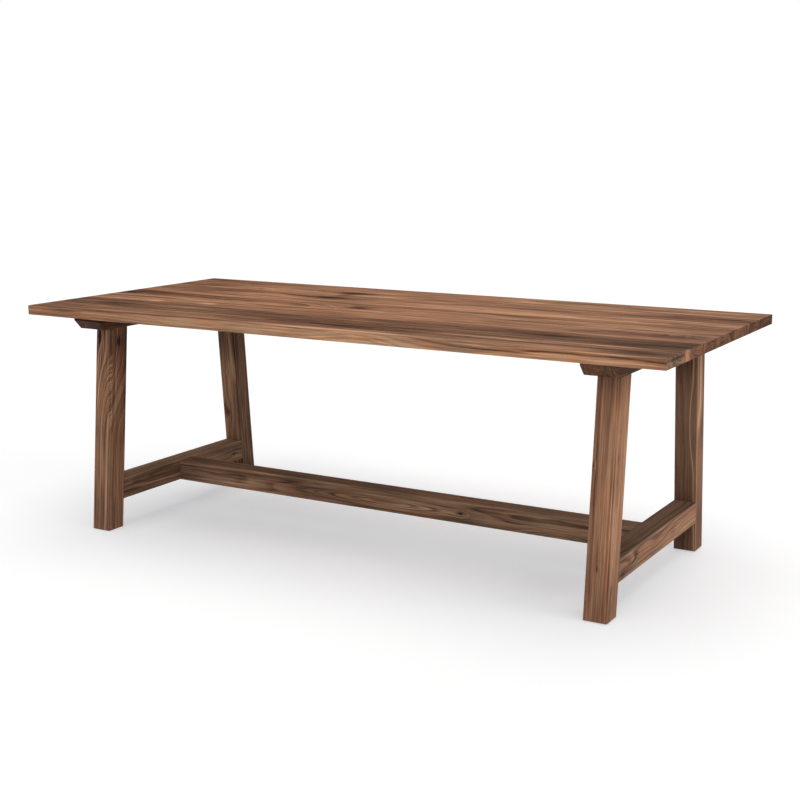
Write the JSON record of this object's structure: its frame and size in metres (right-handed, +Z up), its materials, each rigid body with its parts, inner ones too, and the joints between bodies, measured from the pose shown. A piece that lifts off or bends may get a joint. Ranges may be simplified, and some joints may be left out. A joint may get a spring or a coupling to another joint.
{
  "type": "farmhouse dining table",
  "caption": "Solid walnut trestle dining table: edge-glued plank top bolted to chamfered bearers, outward-leaning square legs, and low cross stretchers joined by a long stretcher.",
  "frame": {"origin": "on the floor, under the middle of the top", "axes": "+X along the top to its right end, +Y across it to the back, +Z up"},
  "size_m": [2.2, 1, 0.765],
  "materials": {
    "walnut_top": "satin oiled walnut, lengthwise grain, tone differs from board to board",
    "walnut_frame": "satin oiled walnut",
    "beech_dowel": "bare beech",
    "zinc_plated_steel": "bright zinc plate",
    "brass": "turned brass",
    "black_nylon": "moulded, matt"
  },
  "bodies": {
    "root": {"top_board_1": "walnut_top", "top_board_2": "walnut_top", "top_board_3": "walnut_top", "top_board_4": "walnut_top", "top_board_5": "walnut_top", "top_board_6": "walnut_top", "top_board_7": "walnut_top", "left_bearer": "walnut_frame", "right_bearer": "walnut_frame", "left_front_leg": "walnut_frame", "left_back_leg": "walnut_frame", "right_front_leg": "walnut_frame", "right_back_leg": "walnut_frame", "left_cross_stretcher": "walnut_frame", "right_cross_stretcher": "walnut_frame", "long_stretcher": "walnut_frame", "top_bolts": "zinc_plated_steel", "top_washers": "zinc_plated_steel", "hanger_bolts": "zinc_plated_steel", "crescent_washers": "zinc_plated_steel", "hanger_nuts": "zinc_plated_steel", "glide_screws": "zinc_plated_steel", "top_inserts": "brass", "locating_dowels": "beech_dowel", "foot_glides": "black_nylon"}
  },
  "joints": []
}
